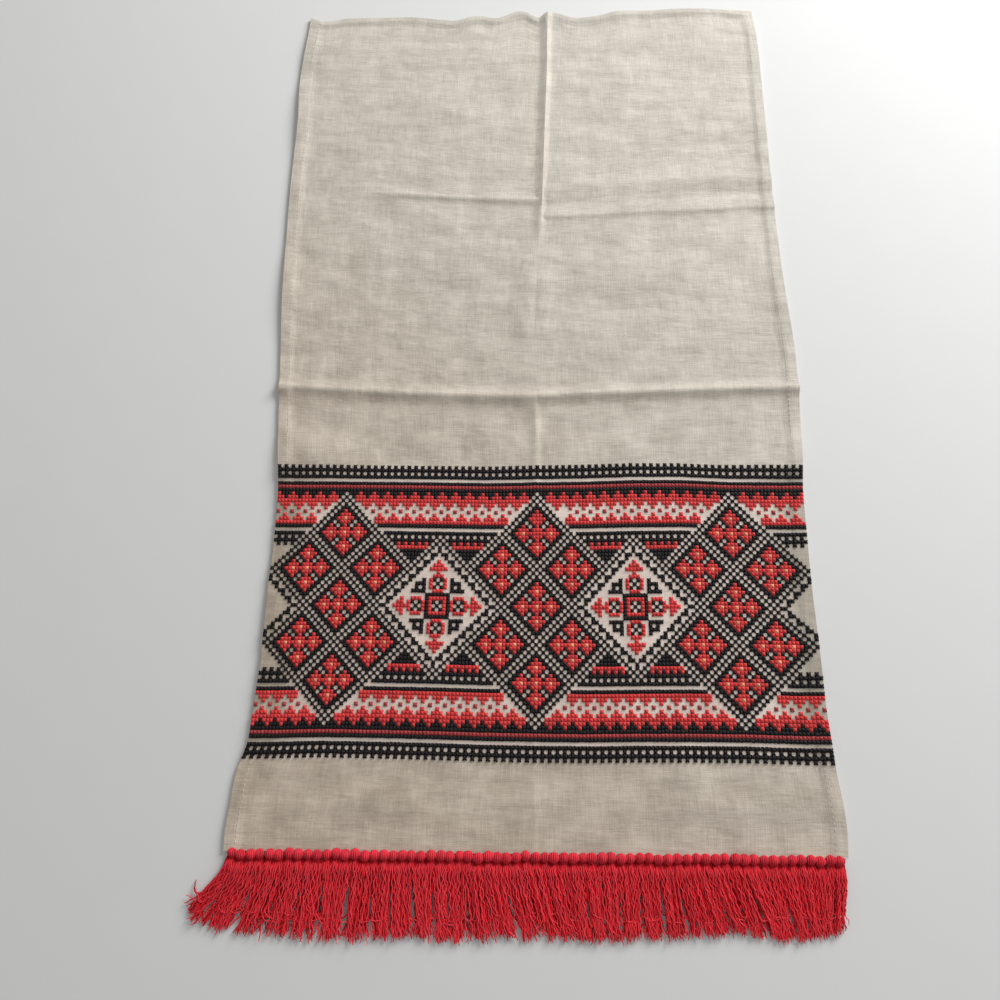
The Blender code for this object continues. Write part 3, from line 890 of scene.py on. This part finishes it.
def heart_thread(across, down):
    """The heart of a big diamond: a chequered box, four boxed arms with arrowheads, and corner blocks."""
    far = max(across, down)
    near = min(across, down)
    if far <= 1:
        return "black" if (across + down) % 2 == 0 else None
    if far == 2:
        return "red"
    if far == 3:
        return "black"
    if 5 <= far <= 7 and near <= 1:
        return "black" if (abs(far - 6) + near) % 2 == 0 else None
    if (far in (4, 8) and near <= 1) or (5 <= far <= 7 and near == 2):
        return "red"
    if (far, near) == (9, 0) or (10 <= far <= 12 and near <= 12 - far):
        return "red"
    if near >= 4 and far + near <= 12 and (far, near) != (5, 5) and far <= 7:
        return "black" if far + near <= 11 or far == 6 else None
    return None


def band_thread(column, row, beside):
    """The borders above and below the diamonds, and the bars between two diamonds."""
    for border in BORDERS:
        if row in border.rows:
            return border.thread if (column - border.first) % border.every == 0 else border.between
    in_bar = row == FULL_ROW or (row == DOTTED_ROW and beside % 2 == 0)
    return "red" if in_bar and beside in BAR_COLUMNS else "black"


def between_rows(place, row):
    """Reads a place's upper, middle and lower values as one even bend over the rows."""
    share = (row - UPPER_ROW) / (LOWER_ROW - UPPER_ROW)
    upper_part = (1.0 - share) * (1.0 - 2.0 * share) * place.upper
    lower_part = share * (2.0 * share - 1.0) * place.lower
    return upper_part + 4.0 * share * (1.0 - share) * place.middle + lower_part


def stitch_place(column, row):
    """Where a count of columns and rows falls on the panel."""
    pull = np.interp(column, [p.column for p in ROW_PULLS], [between_rows(p, row) for p in ROW_PULLS])
    beyond = max(0.0, row - ROW_PLACES[-1].row) - max(0.0, ROW_PLACES[0].row - row)
    along = float(smooth_curve(ROW_PLACES, "along", row)) - beyond * ROW_STEP + float(pull)
    left, right = edges_at(along)
    reach = LAST_COLUMN + 0.5
    columns = [-reach, *(place.column for place in COLUMN_PLACES), reach]
    places = [left, *(between_rows(place, row) for place in COLUMN_PLACES), right]
    return float(np.interp(column, columns, places)), along


def cross_strands(settings):
    """Two crossing legs for every stitch of the pattern, each a short arched strand."""
    chance = random.Random(11)
    corner = {}
    for column in range(-LAST_COLUMN, LAST_COLUMN + 2):
        for row in range(1, LAST_ROW + 2):
            across, along = stitch_place(column - 0.5, row - 0.5)
            across += chance.uniform(-0.00010, 0.00010)
            along += chance.uniform(-0.00012, 0.00012)
            corner[column, row] = np.array((across, along, 0.0))
    strands = []
    shares, lower, upper, widths = np.array(LEG).T
    for column in range(-LAST_COLUMN, LAST_COLUMN + 1):
        for row in range(1, LAST_ROW + 1):
            thread = counted_thread(column, row)
            if thread is None:
                continue
            legs = (
                (corner[column, row + 1], corner[column + 1, row]),
                (corner[column, row], corner[column + 1, row + 1]),
            )
            for layer, (start, end) in enumerate(legs):
                width = settings.width * chance.uniform(0.92, 1.08)
                points = start + np.outer(shares, end - start)
                points[:, 2] = (upper if layer else lower) * settings.rise
                strands.append(Strand(points, width * widths, thread))
    everywhere = np.concatenate([strand.points for strand in strands])
    top = underside(everywhere[:, 0], everywhere[:, 1]) + thickness(everywhere[:, 0], everywhere[:, 1])
    everywhere[:, 2] += top - 0.00012
    placed = everywhere.reshape(len(strands), len(LEG), 3)
    return [strand._replace(points=points) for strand, points in zip(strands, placed)]


class RUSHNYK_OT_linen(bpy.types.Operator):
    """Lays the linen panel with its creases and hems"""

    bl_idname = "rushnyk.linen"
    bl_label = "Linen panel"

    def execute(self, context):
        settings = context.scene.rushnyk_linen
        shares = panel_shares()
        rows = panel_rows()
        bm = bmesh.new()
        bmesh.ops.create_grid(bm, x_segments=len(shares) - 1, y_segments=len(rows) - 1, size=0.5)
        grid = np.array([vertex.co[:2] for vertex in bm.verts])
        share = shares[np.rint((grid[:, 0] + 0.5) * (len(shares) - 1)).astype(int)]
        row = rows[np.rint((grid[:, 1] + 0.5) * (len(rows) - 1)).astype(int)]
        across, along = panel_point(share, row)
        low = underside(across, along)
        uv_layer = bm.loops.layers.uv.new("UVMap")
        for vertex, x, y, z in zip(bm.verts, across, along, low):
            vertex.co = (x, y, z)
        bm.verts.index_update()
        for face in bm.faces:
            for loop in face.loops:
                index = loop.vert.index
                loop[uv_layer].uv = (share[index] * PANEL_WIDTH, row[index])
        mesh = bpy.data.meshes.new("linen_panel")
        bm.to_mesh(mesh)
        bm.free()
        panel = add_object("linen_panel", mesh)
        mesh.materials.append(linen_finish(settings).material)
        layers = panel.vertex_groups.new(name="layers")
        for index, weight in enumerate(thickness(across, along) / HEM_THICK):
            layers.add([index], float(weight), "REPLACE")
        select_only(panel)
        shell = panel.modifiers.new("Cloth thickness", "SOLIDIFY")
        shell.thickness = HEM_THICK
        shell.offset = 1.0
        shell.vertex_group = layers.name
        shell.thickness_vertex_group = 0.0
        bpy.ops.object.modifier_apply(modifier=shell.name)
        bpy.ops.object.shade_smooth_by_angle(angle=math.radians(50.0))
        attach(panel, "root")
        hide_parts("cloth")
        return {"FINISHED"}


class RUSHNYK_OT_embroidery(bpy.types.Operator):
    """Works the cross-stitch band in black and red thread"""

    bl_idname = "rushnyk.embroidery"
    bl_label = "Cross-stitch band"

    def execute(self, context):
        settings = context.scene.rushnyk_thread
        strands = cross_strands(settings)
        for name, threads in STITCHED_PIECES.items():
            finishes = {thread: thread_finish(thread, getattr(settings, thread)) for thread in threads}
            stitches = [strand for strand in strands if strand.finish in threads]
            piece = lay_strands(name, stitches, finishes, True)
            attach(piece, "root")
        return {"FINISHED"}


Tassel = namedtuple("Tassel", "across edge phase lean lift")


def yarn_line(root, lean, reach, fan, kink, waves, phase, curl):
    """One yarn end seen from above, walked step by step from its knot: it fans out, waves and may curl up."""
    shares = np.linspace(0.0, 1.0, YARN_POINTS - 1)
    heading = math.atan2(lean, reach) * (0.35 + 0.85 * ease(0.0, 0.45, shares))
    heading += fan * (1.0 - ease(0.04, 0.24, shares))
    heading += kink * np.sin(math.tau * waves * shares + phase) * ease(0.0, 0.15, shares)
    heading += 0.6 * kink * np.sin(math.tau * 2.3 * waves * shares + 2.1 * phase)
    heading += curl * ease(0.62, 1.0, shares)
    step = 1.04 * math.hypot(lean, reach) / (YARN_POINTS - 1)
    steps = step * np.column_stack((np.sin(heading), -np.cos(heading)))
    return root + np.vstack(((0.0, 0.0), np.cumsum(steps, axis=0)))


class RUSHNYK_OT_fringe(bpy.types.Operator):
    """Knots the yarn fringe along the lower edge"""

    bl_idname = "rushnyk.fringe"
    bl_label = "Knotted fringe"

    def execute(self, context):
        settings = context.scene.rushnyk_yarn
        chance = random.Random(23)
        pitch = (FRINGE_RIGHT - FRINGE_LEFT) / KNOT_COUNT
        lower = []
        upper = []
        for knot in range(KNOT_COUNT):
            across = FRINGE_LEFT + (knot + 0.5) * pitch + chance.uniform(-0.0004, 0.0004)
            edge = float(bottom_edge(across)) + chance.gauss(0.0, 0.0003)
            upper += self.knot(across, edge, pitch, chance.uniform(0.94, 1.08))
            phase = chance.uniform(0.0, math.tau)
            lean = chance.gauss(0.0, 0.0009)
            lift = chance.uniform(-0.0006, 0.0006)
            tassel = Tassel(across, edge, phase, lean, lift)
            for number in range(settings.ends_per_knot):
                layer = (number + 0.5) / settings.ends_per_knot
                aside = 2.0 * ((number * GOLDEN_SHARE + phase) % 1.0) - 1.0
                strand = self.yarn_end(chance, tassel, aside, layer, settings.width)
                (lower if layer < 0.5 else upper).append(strand)
        finishes = {
            "plain": yarn_finish("red_yarn", settings.red, settings.fluffed, 0.0),
            "fluffed": yarn_finish("fluffed_red_yarn", settings.red, settings.fluffed, 0.75),
            # The ends underneath take a darker copy of the wool: painted shade
            "under_shade": yarn_finish("shaded_under_yarn", settings.under_shade, settings.red, 0.0),
            # The knots take a lighter copy of the wool: painted highlight
            "knotted": yarn_finish("lit_knot_yarn", settings.knot_highlight, settings.knot_highlight, 0.0),
        }
        for name, strands in (("fringe_under_layer", lower), ("fringe_top_layer", upper)):
            piece = lay_strands(name, strands, finishes, False)
            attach(piece, "root")
            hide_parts("fringe")
        return {"FINISHED"}

    def knot(self, across, edge, pitch, size):
        """One lark's head: a round knot of yarns side by side, the outer ones lower and shorter. Its lighter
        yarn is a painted highlight.
        """
        strands = []
        forward, up, spread = np.array(KNOT_PATH).T
        for place in (-1.0, -0.5, 0.0, 0.5, 1.0):
            points = np.column_stack((
                across + place * pitch * 0.39 * spread * size,
                edge + (forward * (1.0 - 0.20 * place**2) - 0.0003 * place**2) * size,
                up * size - 0.0009 * place**2 * spread,
            ))
            strands.append(Strand(points, KNOT_YARN_WIDTH * size * (0.6 + 0.4 * spread), "knotted"))
        return strands

    def yarn_end(self, chance, tassel, aside, layer, width):
        """One end of yarn, gathered into the nearest clump. Ends on top are finer, and more of them loop."""
        underneath = layer < UNDERNEATH
        on_top = layer > ON_TOP
        root_spread, root_drop, fan = (0.0027, 0.0026, 0.12) if underneath else (0.0014, 0.0036, 0.42)
        root = np.array((tassel.across + aside * root_spread, tassel.edge - root_drop))
        start = tassel.across + aside * 0.0029
        swept = float(smooth_curve(SWEEPS, "lean", start))
        reach = float(smooth_curve(SWEEPS, "reach", start)) * min(1.03, chance.gauss(0.962, 0.038))
        clump = min(CLUMP_MIDDLES, key=lambda middle: abs(middle - start))
        lean = swept + tassel.lean + 0.34 * (clump - start) + chance.gauss(0.0, 0.0007)
        kink = chance.uniform(0.15, 0.36) * (1.5 if on_top else 1.0)
        curl = chance.gauss(0.0, 0.28)
        looped = LOOPED_FROM < start < LOOPED_TO
        if chance.random() < (0.20 if on_top else 0.06) + (0.22 if looped else 0.0):
            curl = chance.choice((-1.0, 1.0)) * chance.uniform(1.4, 4.6 if looped else 3.6)
        phase = tassel.phase + chance.gauss(0.0, 1.0)
        waves = chance.uniform(4.6, 6.8)
        line = yarn_line(root, lean, reach + 0.0020, aside * fan, kink, waves, phase, curl)
        shares = np.linspace(0.0, 1.0, YARN_POINTS)
        bundle = 1.0 - 0.60 * (aside * (1.0 - 0.6 * ease(0.05, 0.45, shares))) ** 2
        rise = 0.0010 + (0.0004 + 0.0030 * layer * bundle + tassel.lift) * ease(0.0, 0.16, shares)
        rise *= 1.0 - 0.45 * ease(0.35, 1.0, shares)
        rise += 0.00016 * np.sin(math.tau * 3.3 * shares + 3.0 * phase)
        thick = width * chance.uniform(0.85, 1.15) * (0.72 if on_top else 1.0)
        widths = thick * np.interp(shares, (0.0, 0.6, 0.92, 1.0), (1.05, 0.95, 0.84, 0.50))
        # Ends underneath are in painted shade
        finish = "under_shade" if underneath else "fluffed" if on_top else "plain"
        return Strand(np.column_stack((line, np.maximum(rise, 0.0006))), widths, finish)


class RUSHNYK_OT_hem_sewing(bpy.types.Operator):
    """Sews the hems down with small running stitches"""

    bl_idname = "rushnyk.hem_sewing"
    bl_label = "Hem sewing"

    def execute(self, context):
        settings = context.scene.rushnyk_linen
        chance = random.Random(5)
        strands = []
        inset = (SIDE_HEM_WIDTH - HEM_STITCH_INSET) / PANEL_WIDTH
        for share in (inset, 1.0 - inset):
            for start in np.arange(PANEL_BOTTOM + 0.004, PANEL_TOP - 0.008, HEM_STITCH_SPACING):
                if BAND_BOTTOM < start < BAND_TOP:
                    continue
                rows = start + np.linspace(0.0, HEM_STITCH_LENGTH * chance.uniform(0.8, 1.15), 4)
                across, along = panel_point(np.full(4, share), rows)
                strands.append(self.stitch(across, along))
        for start in np.arange(0.02, 0.98, HEM_STITCH_SPACING / PANEL_WIDTH):
            shares = start + np.linspace(0.0, HEM_STITCH_LENGTH / PANEL_WIDTH, 4)
            across, along = panel_point(shares, np.full(4, PANEL_TOP - TOP_HEM_WIDTH + HEM_STITCH_INSET))
            strands.append(self.stitch(across, along))
        finishes = {"hem": thread_finish("hem", tuple(settings.pale), 0.8)}
        piece = lay_strands("hem_stitches", strands, finishes, True)
        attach(piece, "root")
        return {"FINISHED"}

    def stitch(self, across, along):
        top = underside(across, along) + thickness(across, along)
        return Strand(np.column_stack((across, along, top + HEM_STITCH_RISE)), [HEM_STITCH_WIDTH] * 4, "hem")


class RUSHNYK_OT_studio(bpy.types.Operator):
    """Sets the plain floor, the soft lights and the camera"""

    bl_idname = "rushnyk.studio"
    bl_label = "Floor, lights and camera"

    def execute(self, context):
        settings = context.scene.rushnyk_studio
        deselect_all()
        bpy.ops.mesh.primitive_plane_add(size=FLOOR_SIZE, location=(0.0, 0.0, FLOOR_LEVEL))
        floor = context.object
        floor.name = "floor"
        finish = Finish("floor", Roughness=0.95)
        grain = finish.noise(finish.in_space(), 30.0, 4.0, 0.5)
        darker = tuple(channel * 0.97 for channel in settings.floor)
        finish.set("Base Color", finish.blend(grain, darker, settings.floor))
        floor.data.materials.append(finish.material)
        world = bpy.data.worlds.new("studio")
        context.scene.world = world
        world.use_nodes = True
        background = world.node_tree.nodes["Background"]
        background.inputs["Color"].default_value = (1.0, 1.0, 1.0, 1.0)
        background.inputs["Strength"].default_value = settings.fill
        key = bpy.data.lights.new("key", "AREA")
        key.energy = settings.key_power
        key.size = KEY_SIZE
        key_object = add_object("key", key)
        key_object.location = KEY_PLACE
        key_object.rotation_euler = aim(key_object.location, KEY_TARGET)
        camera = bpy.data.cameras.new("camera")
        camera.sensor_width = 36.0
        camera.lens = CAMERA_LENS
        camera.clip_start = 0.01
        eye = add_object("camera", camera)
        eye.location = CAMERA_PLACE
        eye.rotation_euler = (math.radians(CAMERA_TILT), 0.0, 0.0)
        context.scene.camera = eye
        context.scene.view_settings.view_transform = "Standard"
        return {"FINISHED"}


def aim(place, target):
    """The turn that points a light or camera at the target."""
    away = np.array(target) - np.array(place)
    level = math.hypot(away[0], away[1])
    return (math.atan2(level, -away[2]), 0.0, math.atan2(away[1], away[0]) - math.pi / 2)


class RUSHNYK_PT_panel(bpy.types.Panel):
    """Sizes, colours and steps of the towel"""

    bl_label = "Rushnyk towel"
    bl_idname = "RUSHNYK_PT_panel"
    bl_space_type = "VIEW_3D"
    bl_region_type = "UI"
    bl_category = "Rushnyk"

    def draw(self, context):
        for group in GROUPS:
            settings = getattr(context.scene, group)
            for name in settings.__annotations__:
                self.layout.prop(settings, name)
        for operator in OPERATORS:
            self.layout.operator(operator.bl_idname)


GROUPS = {
    "rushnyk_linen": LinenSettings,
    "rushnyk_thread": ThreadSettings,
    "rushnyk_yarn": YarnSettings,
    "rushnyk_studio": StudioSettings,
}
OPERATORS = (
    RUSHNYK_OT_linen,
    RUSHNYK_OT_embroidery,
    RUSHNYK_OT_hem_sewing,
    RUSHNYK_OT_fringe,
    RUSHNYK_OT_studio,
)


CLASSES = (*GROUPS.values(), *OPERATORS, RUSHNYK_PT_panel)


def register():
    for kind in CLASSES:
        bpy.utils.register_class(kind)
    for name, group in GROUPS.items():
        setattr(bpy.types.Scene, name, bpy.props.PointerProperty(type=group))


def unregister():
    for name in GROUPS:
        delattr(bpy.types.Scene, name)
    for kind in reversed(CLASSES):
        bpy.utils.unregister_class(kind)


def main():
    register()
    bpy.ops.rushnyk.linen()
    bpy.ops.rushnyk.embroidery()
    bpy.ops.rushnyk.hem_sewing()
    bpy.ops.rushnyk.fringe()
    bpy.ops.rushnyk.studio()


if __name__ == "__main__":
    main()
